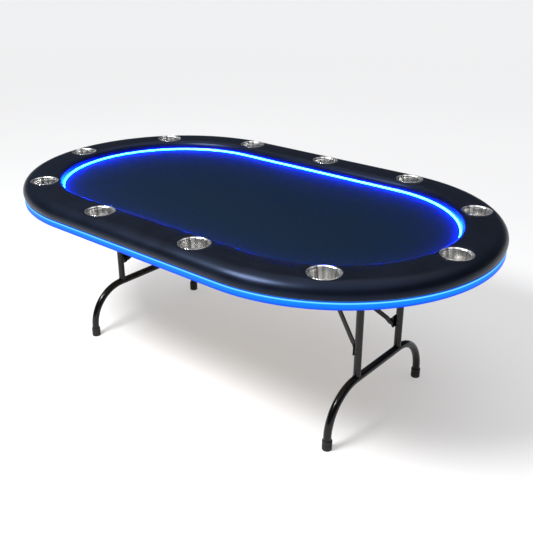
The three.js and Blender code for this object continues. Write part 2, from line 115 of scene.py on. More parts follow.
# ---- sizes of the legs and brackets
SIDES = {"right": 1, "left": -1}
ROWS = {"front": -1, "back": 1}
BRACKET_ROUND = 5 * MM
TAB_ROUND = 3 * MM
PIN_STEPS = 32
HEAD_STEPS = 24
CAP_STEPS = 64
FOOT_BEND = 165 * MM
TUBE_WALL = 1.5 * MM
TUBE_SIDES = 40
WELD_BEAD = 2.2 * MM
SHEET = 2.5 * MM
HINGE_NECK = 26 * MM
STAY_NECK = 13.5 * MM
BAR_HALF = 10 * MM
ARM_THICK = 5 * MM
STAY_THICK = 6 * MM
ARM_GAP = 0.6 * MM
TINE_LENGTH = 22 * MM
ARM_HEEL = 18 * MM
BRACE_OFFSET = 27 * MM  # leg's plane to the brace's pivot on it
RING_WALL = 3 * MM
EDGE = 0.5 * MM  # broken edge of pressed and cut metal
RIVET_SPACING = 20 * MM
RIVET_HEAD = 4.2 * MM
WELD_STEPS = 96
WELD_SCALES = 26
WELD_RIPPLE = 0.14
BEND_STEPS = 40
CAP_SOLE = 4 * MM
TAB_EAR = 12 * MM
RIVET_DROP = 8 * MM
PIN_RADIUS = 4 * MM
PIN_HEAD = 6.4 * MM
PIN_HEAD_RISE = 2 * MM
BAR_STEPS = 48
BAR_END_STEPS = 10
RING_LENGTH = 28 * MM
RING_LEAD = 6 * MM
RING_GAP = 4 * MM
SCREW_HEAD = 4 * MM
SCREW_RISE = 1.8 * MM
SCREW_MARGIN = 6 * MM
HINGE_SCREW_Y = 10 * MM
SKIRT_SCREWS = 24
SKIRT_SCREW_SETBACK = 8 * MM
TAPE_THICK = 3 * MM
CHANNEL_DEPTH = 6.6 * MM
BAND_ROUND = 0.4 * MM
TUBE_ROUND = 1.9 * MM
TUBE_MARGIN = 1.1 * MM  # lit core to the face of its silicone

# ---- sizes of the light controller
CASE_ROUND = 6 * MM
CASE_SEAM = 7 * MM
INLET_DEPTH = 6 * MM
INLET_MOUTH = 3 * MM
INLET_PIN = 1 * MM

# ---- camera and floor
VIEW_TURN = 39.89  # degrees from the front towards the right
VIEW_DROP = 24.1
VIEW_REACH = 2.92
VIEW_AIM = (0.1786, -0.0883, 0.5037)
VIEW_LENS = 50.66
FLOOR_HALF = 40.0
FLOOR_GLOW = 0.62  # the light that the white studio walls would add
FLOOR_FADE = 12.0  # metres over which the floor's painted wall light grows paler
LAMP_PLACE = (-0.5, -2.2, 3.1)
LAMP_AIM = (0.4, -0.6, 0.75)
LAMP_WIDTH = 1.3
LAMP_HEIGHT = 0.8
LAMP_WATTS = 210


# ---- materials
def linear(code, alpha=1.0):
    """An sRGB hex colour as linear red, green, blue and alpha."""
    shares = [int(code[i : i + 2], 16) / 255 for i in (1, 3, 5)]
    return tuple(
        share / 12.92 if share <= 0.04045 else ((share + 0.055) / 1.055) ** 2.4 for share in shares
    ) + (alpha,)


def per_metre(size_mm):
    """How many features of this size, in millimetres, fit in a metre."""
    return 1000 / size_mm


def add_node(tree, kind, settings=None, links=None, stops=None):
    """Adds a shader node. Settings are attributes or input values, links feed its inputs."""
    node = tree.nodes.new("ShaderNode" + kind)
    for name, value in (settings or {}).items():
        if isinstance(name, int) or name in node.inputs:
            node.inputs[name].default_value = value
        else:
            setattr(node, name, value)
    for name, socket in (links or {}).items():
        tree.links.new(socket, node.inputs[name])
    if stops:
        ramp = node.color_ramp
        while len(ramp.elements) < len(stops):
            ramp.elements.new(1.0)
        for element, (place, colour) in zip(ramp.elements, stops):
            element.position = place
            element.color = colour
    return node


def new_material(name):
    material = bpy.data.materials.new(name)
    material.use_nodes = True
    material.node_tree.nodes.clear()
    return material, material.node_tree


def close_material(tree, settings, links):
    shader = add_node(tree, "BsdfPrincipled", settings, links)
    add_node(tree, "OutputMaterial", links={"Surface": shader.outputs["BSDF"]})


def grey(value):
    return (value, value, value, 1)


def make_upholstery_vinyl():
    """Calendered PVC leathercloth, embossed with a fine grain: a wide satin highlight."""
    material, tree = new_material("upholstery_vinyl")
    place = add_node(tree, "TexCoord").outputs["Object"]
    # Embossed pebbles about 1.1 mm across, drawn at 2.2 mm so that they show.
    pebbles = add_node(
        tree,
        "TexVoronoi",
        {"Scale": per_metre(2.2), "Randomness": 0.9, "feature": "SMOOTH_F1", "Smoothness": 0.35},
        {"Vector": place},
    )
    # Foam shows through as a soft unevenness a hand's breadth across.
    swell = add_node(tree, "TexNoise", {"Scale": per_metre(90), "Detail": 2}, {"Vector": place})
    tone = add_node(
        tree,
        "ValToRGB",
        links={"Fac": swell.outputs["Fac"]},
        stops=[(0.3, linear("#06090f")), (0.7, linear("#090d16"))],
    )
    gloss = add_node(
        tree,
        "MapRange",
        {"From Min": 0.25, "From Max": 0.75, "To Min": 0.31, "To Max": 0.38},
        {"Value": swell.outputs["Fac"]},
    )
    soft = add_node(
        tree, "Bump", {"Strength": 0.12, "Distance": 2 * MM}, {"Height": swell.outputs["Fac"]}
    )
    grain = add_node(
        tree,
        "Bump",
        {"Strength": 0.16, "Distance": 0.25 * MM},
        {"Height": pebbles.outputs["Distance"], "Normal": soft.outputs["Normal"]},
    )
    # The reflections are tinted blue: a painted blue cast standing in for the light bands' glow on the
    # vinyl.
    close_material(
        tree,
        {"IOR": 1.5, "Specular IOR Level": 0.27, "Specular Tint": linear("#a9c4ff")},
        {
            "Base Color": tone.outputs["Color"],
            "Roughness": gloss.outputs["Result"],
            "Normal": grain.outputs["Normal"],
        },
    )
    return material


def make_speed_cloth():
    """Woven polyester speed cloth, dyed navy: matt, with a fine over-and-under weave."""
    material, tree = new_material("speed_cloth_polyester")
    place = add_node(tree, "TexCoord").outputs["Object"]
    # Threads lie 0.5 mm apart, drawn 3 mm apart so that the weave shows.
    thread = 3.0
    warp, weft = [
        add_node(
            tree,
            "TexWave",
            {"Scale": per_metre(thread) / 6.28, "bands_direction": way, "Distortion": 0.6, "Detail": 1},
            {"Vector": place},
        )
        for way in "XY"
    ]
    weave = add_node(
        tree,
        "Math",
        {"operation": "MULTIPLY"},
        {0: warp.outputs["Fac"], 1: weft.outputs["Fac"]},
    )
    # Slubs and dye take vary from thread to thread.
    slub = add_node(tree, "TexNoise", {"Scale": per_metre(4), "Detail": 4}, {"Vector": place})
    mixed = add_node(
        tree,
        "Math",
        {"operation": "MULTIPLY_ADD", 1: 0.35},
        {0: weave.outputs["Value"], 2: slub.outputs["Fac"]},
    )
    dye = add_node(
        tree,
        "ValToRGB",
        links={"Fac": mixed.outputs["Value"]},
        stops=[(0.35, linear("#08131d")), (0.95, linear("#0f1f2c"))],
    )
    relief = add_node(
        tree, "Bump", {"Strength": 0.35, "Distance": 0.3 * MM}, {"Height": mixed.outputs["Value"]}
    )
    close_material(
        tree,
        {
            "Roughness": 0.88,
            "IOR": 1.46,
            "Specular IOR Level": 0.06,
            "Sheen Weight": 0.03,
            "Sheen Roughness": 0.45,
            "Sheen Tint": linear("#1d4fa0"),
        },
        {"Base Color": dye.outputs["Color"], "Normal": relief.outputs["Normal"]},
    )
    return material


def make_inner_light():
    """Milky silicone over a lit tape: a white-hot core that throws saturated blue."""
    material, tree = new_material("lit_silicone_strip")
    place = add_node(tree, "TexCoord").outputs["Object"]
    # Single diodes sit 16 mm apart behind the silicone and hardly show.
    diodes = add_node(tree, "TexNoise", {"Scale": per_metre(16), "Detail": 0}, {"Vector": place})
    glow = add_node(
        tree,
        "ValToRGB",
        links={"Fac": diodes.outputs["Fac"]},
        stops=[(0.3, (0.0002, 0.017, 1.0, 1)), (0.7, (0.0003, 0.020, 1.0, 1))],
    )
    close_material(
        tree,
        {"Base Color": linear("#c9dcff"), "Roughness": 0.35, "IOR": 1.41, "Emission Strength": 600.0},
        {"Emission Color": glow.outputs["Color"]},
    )
    return material


def make_outer_light(low, high):
    """Opal acrylic lit from inside by a tape near its top: a bright line above an azure band."""
    material, tree = new_material("lit_opal_acrylic")
    place = add_node(tree, "TexCoord").outputs["Object"]
    height = add_node(tree, "SeparateXYZ", links={"Vector": place})
    share = add_node(
        tree, "MapRange", {"From Min": low, "From Max": high}, {"Value": height.outputs["Z"]}
    )
    glow = add_node(
        tree,
        "ValToRGB",
        links={"Fac": share.outputs["Result"]},
        stops=[
            (0.0, (0.0, 0.012, 0.55, 1)),
            (0.10, (0.0, 0.10, 1.0, 1)),
            (0.35, (0.0, 0.19, 1.0, 1)),
            (0.68, (0.0, 0.26, 1.0, 1)),
            (0.76, (0.16, 0.78, 1.0, 1)),
            (0.83, (0.20, 0.84, 1.0, 1)),
            (0.90, (0.0, 0.20, 1.0, 1)),
            (1.0, (0.0, 0.03, 0.45, 1)),
        ],
    )
    close_material(
        tree,
        {
            "Base Color": linear("#03113a"),
            "Roughness": 0.5,
            "IOR": 1.49,
            "Specular IOR Level": 0.1,
            "Emission Strength": 1.05,
        },
        {"Emission Color": glow.outputs["Color"]},
    )
    return material


def make_drawn_steel():
    """Stainless steel drawn and polished: mirror-like, with faint rings from the tool, and bright and
    dark streaks fanning out from the cup's middle that are painted reflections in its colour."""
    material, tree = new_material("drawn_stainless_steel")
    place = add_node(tree, "TexCoord").outputs["Object"]
    height = add_node(tree, "SeparateXYZ", links={"Vector": place})
    # Tool marks 0.4 mm apart, drawn at 0.8 mm.
    marks = add_node(
        tree,
        "TexNoise",
        {"noise_dimensions": "1D", "Scale": per_metre(0.8), "Detail": 2},
        {"W": height.outputs["Z"]},
    )
    flat = add_node(tree, "VectorMath", {"operation": "MULTIPLY", 1: (1, 1, 0)}, {0: place})
    way = add_node(
        tree, "VectorMath", {"operation": "NORMALIZE"}, {0: flat.outputs["Vector"]}
    )
    # Streaks about an eighth of a turn wide, with finer ones in them: painted reflections, bright and
    # dark, in the steel's colour, and a real change in its gloss.
    streaks_and_painted_reflections = add_node(
        tree,
        "TexNoise",
        {"Scale": 2.6, "Detail": 4, "Roughness": 0.55},
        {"Vector": way.outputs["Vector"]},
    )
    # Painted reflections: the streaks turn the steel's colour from dark grey to near white.
    tone = add_node(
        tree,
        "ValToRGB",
        links={"Fac": streaks_and_painted_reflections.outputs["Fac"]},
        stops=[(0.36, linear("#807e7b")), (0.47, linear("#dcdad6")), (0.58, linear("#fcfbf9"))],
    )
    rough = add_node(
        tree,
        "MapRange",
        {"From Min": 0.3, "From Max": 0.7, "To Min": 0.20, "To Max": 0.27},
        {"Value": streaks_and_painted_reflections.outputs["Fac"]},
    )
    rings = add_node(
        tree, "Bump", {"Strength": 0.05, "Distance": 0.1 * MM}, {"Height": marks.outputs["Fac"]}
    )
    round_it = add_node(tree, "Tangent", {"direction_type": "RADIAL", "axis": "Z"})
    close_material(
        tree,
        {"Metallic": 1.0, "Anisotropic": 0.8},
        {
            "Base Color": tone.outputs["Color"],
            "Roughness": rough.outputs["Result"],
            "Normal": rings.outputs["Normal"],
            "Tangent": round_it.outputs["Tangent"],
        },
    )
    return material


def make_plain(name, dark, light, roughness, size, bump, settings):
    """A metal, coating or moulding whose tone, gloss and skin vary over patches of one size, in mm."""
    material, tree = new_material(name)
    place = add_node(tree, "TexCoord").outputs["Object"]
    patches = add_node(
        tree, "TexNoise", {"Scale": per_metre(size), "Detail": 3}, {"Vector": place}
    )
    tone = add_node(
        tree,
        "ValToRGB",
        links={"Fac": patches.outputs["Fac"]},
        stops=[(0.3, linear(dark)), (0.7, linear(light))],
    )
    gloss = add_node(
        tree,
        "MapRange",
        {"From Min": 0.3, "From Max": 0.7, "To Min": roughness[0], "To Max": roughness[1]},
        {"Value": patches.outputs["Fac"]},
    )
    skin = add_node(
        tree, "Bump", {"Strength": bump, "Distance": 0.2 * MM}, {"Height": patches.outputs["Fac"]}
    )
    close_material(
        tree,
        settings,
        {
            "Base Color": tone.outputs["Color"],
            "Roughness": gloss.outputs["Result"],
            "Normal": skin.outputs["Normal"],
        },
    )
    return material


def make_birch_plywood():
    """Rotary-cut birch plywood: pale veneer whose grain runs along the table."""
    material, tree = new_material("birch_plywood")
    place = add_node(tree, "TexCoord").outputs["Object"]
    # Grain lines lie about 4 mm apart and run on for 200 mm or so.
    along = add_node(tree, "Mapping", {"Scale": (5, per_metre(8), per_metre(3))}, {"Vector": place})
    grain = add_node(
        tree,
        "TexNoise",
        {"Scale": 1.0, "Detail": 5, "Roughness": 0.6, "Distortion": 0.4},
        {"Vector": along.outputs["Vector"]},
    )
    veneer = add_node(
        tree,
        "ValToRGB",
        links={"Fac": grain.outputs["Fac"]},
        stops=[(0.32, linear("#9c8465")), (0.5, linear("#bfab8c")), (0.7, linear("#cdbd9f"))],
    )
    relief = add_node(
        tree, "Bump", {"Strength": 0.15, "Distance": 0.2 * MM}, {"Height": grain.outputs["Fac"]}
    )
    close_material(
        tree,
        {"Roughness": 0.62, "IOR": 1.5},
        {"Base Color": veneer.outputs["Color"], "Normal": relief.outputs["Normal"]},
    )
    return material


def make_foam():
    """Open-cell polyurethane foam: dull grey pores about 1.5 mm across."""
    material, tree = new_material("polyurethane_foam")
    place = add_node(tree, "TexCoord").outputs["Object"]
    pores = add_node(tree, "TexVoronoi", {"Scale": per_metre(1.5)}, {"Vector": place})
    tone = add_node(
        tree,
        "ValToRGB",
        links={"Fac": pores.outputs["Distance"]},
        stops=[(0.1, linear("#4b4b50")), (0.7, linear("#2c2c30"))],
    )
    relief = add_node(
        tree, "Bump", {"Strength": 0.5, "Distance": 0.5 * MM}, {"Height": pores.outputs["Distance"]}
    )
    close_material(
        tree,
        {"Roughness": 0.95, "IOR": 1.45},
        {"Base Color": tone.outputs["Color"], "Normal": relief.outputs["Normal"]},
    )
    return material


diffuser_low, diffuser_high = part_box("outer_led_diffuser")
materials = {
    "vinyl": make_upholstery_vinyl(),
    "cloth": make_speed_cloth(),
    "light": make_inner_light(),
    "band": make_outer_light(diffuser_low.z, diffuser_high.z),
    "steel": make_drawn_steel(),
    # Steel tube under black powder coat: smooth gloss with a faint orange peel 2 mm across.
    "paint": make_plain(
        "black_powder_coat", "#030304", "#060607", (0.16, 0.24), 2.0, 0.06,
        {"IOR": 1.52, "Specular IOR Level": 0.3},
    ),
    # Pressed steel, bright zinc plated: cool grey with cloudy patches about 6 mm across.
    "zinc": make_plain(
        "zinc_plated_steel", "#8f949b", "#b9bdc3", (0.28, 0.42), 6, 0.08, {"Metallic": 1.0}
    ),
    # Extruded aluminium, clear anodised: even satin grey.
    "channel": make_plain(
        "anodised_aluminium", "#9a9ea4", "#a9adb3", (0.3, 0.38), 1.5, 0.05, {"Metallic": 1.0}
    ),
    # Moulded black rubber: matt, with a fine bloom on it.
    "rubber": make_plain(
        "moulded_rubber", "#0a0a0b", "#151516", (0.55, 0.72), 1.2, 0.25,
        {"IOR": 1.52, "Specular IOR Level": 0.4},
    ),
    # Moulded ABS with a spark-eroded texture 0.6 mm across, drawn at 1.2 mm.
    "plastic": make_plain(
        "moulded_abs", "#101012", "#18181b", (0.48, 0.6), 1.2, 0.3, {"IOR": 1.54}
    ),
    "board": make_birch_plywood(),
    "foam": make_foam(),
}
slot_of = {key: key for key in materials}
slot_of["band"] = "light"


# ---- mesh helpers
def loft(sections, loop=False):
    """Points and faces of a skin over closed sections with equal numbers of points."""
    across = len(sections[0])
    points = [point for section in sections for point in section]
    faces = []
    last = len(sections) if loop else len(sections) - 1
    for i in range(last):
        here = i * across
        there = (i + 1) % len(sections) * across
        for j in range(across):
            side = (j + 1) % across
            faces.append((here + j, here + side, there + side, there + j))
    if not loop:
        faces.append(tuple(range(across)))
        faces.append(tuple(range(len(points) - across, len(points))))
    return points, faces


def add_piece(name, shape, key, nodes=(), on=None, side=1, sharp=38, thickness=None, at=None):
    """Makes a mesh piece, mirrored in x where side is -1. It rides with the nodes that it
    stands for, or with the node that it is fastened on."""
    points, faces = shape
    mesh = bpy.data.meshes.new(name)
    mesh.from_pydata([(side * x, y, z) for x, y, z in points], [], faces)
    clean_mesh(mesh)
    mesh.shade_smooth()
    mesh.set_sharp_from_angle(angle=math.radians(sharp))
    mesh.materials.append(materials[key])
    piece = bpy.data.objects.new(name, mesh)
    bpy.context.scene.collection.objects.link(piece)
    piece.location = at or (0, 0, 0)
    if thickness:
        shell = piece.modifiers.new("thickness", "SOLIDIFY")
        shell.thickness = thickness
        shell.offset = -1
    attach(piece, body_of[on or nodes[0]])
    if nodes:
        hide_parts(*nodes)
    return piece


def clean_mesh(mesh):
    """Merges points that coincide, drops faces with no area and turns every face outwards."""
    work = bmesh.new()
    work.from_mesh(mesh)
    bmesh.ops.remove_doubles(work, verts=work.verts, dist=1e-6)
    bmesh.ops.dissolve_degenerate(work, edges=work.edges, dist=1e-6)
    bmesh.ops.recalc_face_normals(work, faces=work.faces)
    work.to_mesh(mesh)
    work.free()


def merged(*shapes):
    """Several closed shapes as one list of points and faces."""
    points = []
    faces = []
    for more_points, more_faces in shapes:
        start = len(points)
        points += more_points
        faces += [tuple(start + i for i in face) for face in more_faces]
    return points, faces


def arc(x, y, radius, start, end, steps):
    """Points on an arc, with its angles in degrees."""
    turns = [math.radians(start + (end - start) * i / steps) for i in range(steps + 1)]
    return [(x + radius * math.cos(turn), y + radius * math.sin(turn)) for turn in turns]


def rectangle(x_low, y_low, x_high, y_high):
    return [(x_low, y_low), (x_high, y_low), (x_high, y_high), (x_low, y_high)]


def rounded(corners, radius, steps=3):
    """A closed outline with each of its corners rounded off."""
    made = []
    count = len(corners)
    for i, corner in enumerate(corners):
        here = Vector(corner)
        before = Vector(corners[i - 1]) - here
        after = Vector(corners[(i + 1) % count]) - here
        reach = min(radius, before.length / 2.2, after.length / 2.2)
        start = here + before.normalized() * reach
        end = here + after.normalized() * reach
        for k in range(steps + 1):
            share = k / steps
            point = (1 - share) ** 2 * start + 2 * share * (1 - share) * here + share**2 * end
            made.append(tuple(point))
    return made


def oval_stations(step):
    """Stations round the table: a centre on the x axis, and a way outwards."""
    stations = []
    ends = max(round(math.pi * half_width / step), 8)
    runs = max(round(2 * half_straight / step), 1)
    for side in (1, -1):
        for i in range(ends):
            turn = math.pi * (i / ends - side / 2)
            stations.append((side * half_straight, math.cos(turn), math.sin(turn)))
        for i in range(runs):
            stations.append((side * half_straight * (1 - 2 * i / runs), 0.0, float(side)))
    return stations


def ring(section, step=BAND_STEP):
    """Sweeps a closed section of (inset, z) points round the table's outline."""
    sections = []
    for middle, out_x, out_y in oval_stations(step):
        reach = [half_width - inset for inset, z in section]
        sections.append(
            [(middle + out_x * r, out_y * r, z) for r, (inset, z) in zip(reach, section)]
        )
    return loft(sections, loop=True)


def oval_plate(inset, low, high, edge):
    """A board or sheet with the table's outline and softened edges."""
    levels = [(edge, low), (0, low + edge), (0, high - edge), (edge, high)]
    sections = []
    for back, z in levels:
        radius = half_width - inset - back
        sections.append(
            [(middle + x * radius, y * radius, z) for middle, x, y in oval_stations(BAND_STEP)]
        )
    return loft(sections)


def lathe(profile, start, steps=LATHE_STEPS, along="z"):
    """Turns a closed profile of (radius, height) points round an axis through a point."""
    sections = []
    for i in range(steps):
        turn = 2 * math.pi * i / steps
        ring_points = []
        for radius, height in profile:
            a = radius * math.cos(turn)
            b = radius * math.sin(turn)
            offset = {"x": (height, a, b), "y": (a, height, b), "z": (a, b, height)}[along]
            ring_points.append(tuple(s + o for s, o in zip(start, offset)))
        sections.append(ring_points)
    return loft(sections, loop=True)


def dome(radius, height, steps=5):
    """Profile of a rivet's or screw's domed head, standing on height 0."""
    rise = [math.pi / 2 * i / steps for i in range(steps + 1)]
    return [(0, 0)] + [(radius * math.cos(turn), height * math.sin(turn)) for turn in rise]


def slab(outline, low, high, edge=EDGE, turn=lambda x, y, z: (x, z, y)):
    """An outline given a thickness with softened edges. The outline is drawn in x and z."""
    middle = Vector((sum(x for x, y in outline), sum(y for x, y in outline))) / len(outline)
    sections = []
    for back, level in [(edge, low), (0, low + edge), (0, high - edge), (edge, high)]:
        section = []
        for point in outline:
            inwards = (middle - Vector(point)).normalized() * back
            x, y = Vector(point) + inwards
            section.append(turn(x, y, level))
        sections.append(section)
    return loft(sections)


# ---- the padded rail
def rail_profile():
    """The cover's outside from its outer hem, over the top, to its inner side."""
    shoulder_z = rail_top - SHOULDER_DROP
    line = [(RAIL_TUCK + HEM_ROUND, rail_bottom)]
    line += [(RAIL_TUCK + HEM_ROUND * 0.3, rail_bottom + HEM_ROUND * 0.3)]
    line += [(RAIL_TUCK * 0.75, rail_bottom + HEM_ROUND)]
    line += [(RAIL_TUCK * 0.25, (rail_bottom + HEM_ROUND + shoulder_z) / 2)]
    for i in range(SHOULDER_STEPS + 1):
        turn = math.pi / 2 * i / SHOULDER_STEPS
        z = shoulder_z + SHOULDER_DROP * math.sin(turn)
        line.append((SHOULDER_WIDTH * (1 - math.cos(turn)), z))
    flat = RAIL_WIDTH - INNER_ROUND - SHOULDER_WIDTH
    for i in range(1, CROWN_STEPS):
        share = i / CROWN_STEPS
        crown = RAIL_CROWN * (1 - math.cos(2 * math.pi * share)) / 2
        line.append((SHOULDER_WIDTH + flat * share, rail_top + crown))
    inner_z = rail_top - INNER_ROUND
    line += arc(RAIL_WIDTH - INNER_ROUND, inner_z, INNER_ROUND, 90, 0, 9)
    line += [(RAIL_WIDTH, inner_z - (inner_z - rail_bottom) * i / 4) for i in (1, 2, 3, 4)]
    return line


def press_in(x, y, z):
    """Where a point of the cover goes when the cups' flanges press it down."""
    seat = cups_high - (FLANGE_BEAD + CUP_WALL)
    for place in cup_centres.values():
        away = math.hypot(x - place.x, y - place.y)
        if away > DIMPLE_REACH or z < seat:
            continue
        share = max((away - DIMPLE_EDGE) / (DIMPLE_REACH - DIMPLE_EDGE), 0)
        hold = (1 - share) ** 3 * (1 + 3 * share)
        turn = math.atan2(y - place.y, x - place.x)
        pucker = PUCKER_DEPTH * 4 * hold * (1 - hold) * math.sin(PUCKER_COUNT * turn + 9 * place.x)
        return z - hold * (z - seat) + pucker
    return z


def make_rail_cover():
    """Vinyl drawn over the foam, pressed down round each cup and turned under at its hems."""
    profile = rail_profile()
    stations = oval_stations(RAIL_STEP)
    across = len(profile)
    points = []
    for middle, out_x, out_y in stations:
        for inset, z in profile:
            x = middle + out_x * (half_width - inset)
            y = out_y * (half_width - inset)
            points.append(Vector((x, y, press_in(x, y, z))))
    faces = []
    for i in range(len(stations)):
        here = i * across
        there = (i + 1) % len(stations) * across
        for j in range(across - 1):
            faces.append((here + j, here + j + 1, there + j + 1, there + j))
    points, faces = cut_cup_holes(points, faces)
    cover = add_piece(
        "rail_cover", (points, faces), "vinyl", ["rail_vinyl", "rail_foam"],
        sharp=70, thickness=VINYL_THICK,
    )


def cut_cup_holes(points, faces):
    """Drops the faces over each cup, and draws the edge that is left onto a circle."""
    kept = []
    dropped = []
    for face in faces:
        middle = sum((points[i] for i in face), Vector()) / len(face)
        over_cup = middle.z > cloth_top and any(
            math.hypot(middle.x - c.x, middle.y - c.y) < CUP_CUT for c in cup_centres.values()
        )
        (dropped if over_cup else kept).append(face)
    rim = {i for face in dropped for i in face} & {i for face in kept for i in face}
    for i in rim:
        point = points[i]
        place = min(cup_centres.values(), key=lambda c: math.hypot(point.x - c.x, point.y - c.y))
        way = Vector((point.x - place.x, point.y - place.y)).normalized() * CUP_CUT
        points[i] = Vector((place.x + way.x, place.y + way.y, point.z))
    used = sorted({i for face in kept for i in face})
    new_index = {old: new for new, old in enumerate(used)}
    return [points[i] for i in used], [tuple(new_index[i] for i in face) for face in kept]


# ---- cups
def cup_profile(floor, top):
    """Outside and inside of a drawn cup: foot, taper, flange with a rolled edge, lip and bore."""
    under = top - CUP_WALL - FLANGE_BEAD
    foot_inside = CUP_FOOT - CUP_WALL
    outside = [(0, floor), (CUP_FOOT - 3 * MM, floor)]
    outside += [(CUP_FOOT - 0.8 * MM, floor + 0.8 * MM), (CUP_FOOT, floor + 3 * MM)]
    outside += [(CUP_BODY + out * MM, under - down * MM) for out, down in LIP_UNDER]
    outside += [(CUP_FLANGE - 1.2 * MM, under)]
    outside += arc(CUP_FLANGE - FLANGE_BEAD, under + FLANGE_BEAD, FLANGE_BEAD, -60, 90, 6)
    inside = [(CUP_BODY + out * MM, top - down * MM) for out, down in LIP_OVER]
    inside += [(foot_inside + 0.4 * MM, floor + 8 * MM), (foot_inside, floor + 5.5 * MM)]
    inside += [(foot_inside - 1.2 * MM, floor + 3 * MM), (foot_inside - 4 * MM, floor + 1.6 * MM)]
    inside += [(foot_inside - 8 * MM, floor + CUP_WALL), (12 * MM, floor + CUP_WALL)]
    inside += [(10.5 * MM, floor + CUP_WALL + 0.5 * MM), (0, floor + CUP_WALL + 0.6 * MM)]
    return outside + inside


cups_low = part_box(cup_names[0])[0].z
cups_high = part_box(cup_names[0])[1].z


def make_cups():
    shape = lathe(cup_profile(cups_low, cups_high), (0, 0, 0))
    for name, place in cup_centres.items():
        add_piece("spun_" + name, shape, "steel", [name], sharp=CUP_SHARP, at=(place.x, place.y, 0))


# ---- playing surface, boards and light bands
def add_screws(name, places, on, side=1):
    """Pan-head screws whose heads hang below the given places, as one piece."""
    head = [(radius, -height) for radius, height in dome(SCREW_HEAD, SCREW_RISE)]
    heads = [lathe(head, place, steps=HEAD_STEPS) for place in places]
    add_piece(name, merged(*heads), "zinc", on=on, side=side, sharp=60)


def make_playing_surface():
    low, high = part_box("speed_cloth")
    cloth = add_piece(
        "stretched_cloth",
        oval_plate(half_length - high.x, low.z, high.z, 0.6 * MM),
        "cloth",
        ["speed_cloth"],
    )
    for node, name, key, edge in [
        ("playfield_foam", "cloth_underlay", "foam", 0.6 * MM),
        ("playfield_board", "play_board", "board", 1 * MM),
        ("base_deck", "deck_board", "board", 1.5 * MM),
    ]:
        low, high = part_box(node)
        plate = oval_plate(half_length - high.x, low.z, high.z, edge)
        piece = add_piece(name, plate, key, [node])


def make_outer_band():
    low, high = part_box("outer_led_diffuser")
    outer = half_length - high.x
    inner = outer + DIFFUSER_WALL
    lip = outer + DIFFUSER_LIP
    lip_z = low.z + DIFFUSER_LIP_THICK
    section = rounded(
        [(outer, low.z), (outer, high.z), (inner, high.z), (inner, lip_z), (lip, lip_z), (lip, low.z)],
        DIFFUSER_ROUND,
    )
    add_piece("opal_skirt", ring(section), "band", ["outer_led_diffuser"])
    stations = oval_stations(BAND_STEP)
    reach = half_width - lip + SKIRT_SCREW_SETBACK
    places = []
    for i in range(SKIRT_SCREWS):
        middle, out_x, out_y = stations[round(i * len(stations) / SKIRT_SCREWS)]
        places.append((middle + out_x * reach, out_y * reach, low.z))
    add_screws("skirt_screws", places, on="base_deck")
    low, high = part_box("outer_led_strip")
    outer = half_length - high.x
    inner = outer + TAPE_THICK
    tape = rounded([(outer, low.z), (outer, high.z), (inner, high.z), (inner, low.z)], BAND_ROUND)
    add_piece("skirt_light_tape", ring(tape), "band", ["outer_led_strip"])


def make_inner_band():
    low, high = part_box("inner_led_channel")
    wall = half_length - high.x
    front = wall + CHANNEL_DEPTH
    section = rounded(
        [
            (wall, low.z),
            (wall, high.z),
            (wall + CHANNEL_WALL, high.z),
            (wall + CHANNEL_WALL, low.z + CHANNEL_WALL),
            (front, low.z + CHANNEL_WALL),
            (front, low.z),
        ],
        BAND_ROUND,
    )
    add_piece("light_channel", ring(section), "channel", ["inner_led_channel"])
    low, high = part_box("inner_led_strip")
    back = half_length - high.x
    foot = low.z + TUBE_MARGIN
    top = high.z - TUBE_MARGIN
    section = rounded([(back, foot), (back, top), (front, top), (front, foot)], TUBE_ROUND, steps=4)
    add_piece("light_tube", ring(section), "light", ["inner_led_strip"])


# ---- light controller
def make_controller():
    low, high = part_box("controller_case")
    plan = rounded(rectangle(low.x, low.y, high.x, high.y), CASE_ROUND, steps=6)
    middle = (low + high) / 2
    seam = high.z - CASE_SEAM
    groove = 0.6 * MM
    levels = [(1.6 * MM, low.z), (0.5 * MM, low.z + 0.5 * MM), (0, low.z + 1.6 * MM), (0, seam)]
    levels += [(groove, seam + groove / 2), (groove, seam + groove), (0, seam + groove * 1.5)]
    levels += [(0, high.z)]
    sections = []
    for back, z in levels:
        scale_x = 1 - back / (high.x - middle.x)
        scale_y = 1 - back / (high.y - middle.y)
        section = []
        for x, y in plan:
            section.append((middle.x + (x - middle.x) * scale_x, middle.y + (y - middle.y) * scale_y, z))
        sections.append(section)
    add_piece("light_controller", loft(sections), "plastic", ["controller_case"])
    corner = Vector((high.x - middle.x, high.y - middle.y)) * 0.8
    places = [
        (middle.x + i * corner.x, middle.y + j * corner.y, low.z) for i in (-1, 1) for j in (-1, 1)
    ]
    add_screws("controller_screws", places, on="controller_case")
    low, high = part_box("power_button")
    radius = (high.z - low.z) / 2
    long = high.y - low.y
    cap = [(0, 0), (radius, 0), (radius, long - 1 * MM), (radius - 0.4 * MM, long - 0.3 * MM)]
    cap += [(radius - 1.2 * MM, long), (radius - 2 * MM, long - 0.3 * MM), (0, long - 0.7 * MM)]
    place = (centre("power_button").x, low.y, centre("power_button").z)
    add_piece("push_button", lathe(cap, place, 48, "y"), "plastic", ["power_button"])
    low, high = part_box("power_inlet")
    radius = (high.z - low.z) / 2
    long = high.y - low.y
    floor = long - INLET_DEPTH
    shell = [(0, 0), (radius, 0), (radius, long - 0.5 * MM), (radius - 0.5 * MM, long)]
    shell += [(INLET_MOUTH, long), (INLET_MOUTH, floor), (INLET_PIN, floor)]
    shell += [(INLET_PIN, long - 0.9 * MM), (INLET_PIN * 0.5, long - 0.4 * MM), (0, long - 0.3 * MM)]
    place = (centre("power_inlet").x, low.y, centre("power_inlet").z)
    add_piece("power_socket", lathe(shell, place, 48, "y"), "zinc", ["power_inlet"])


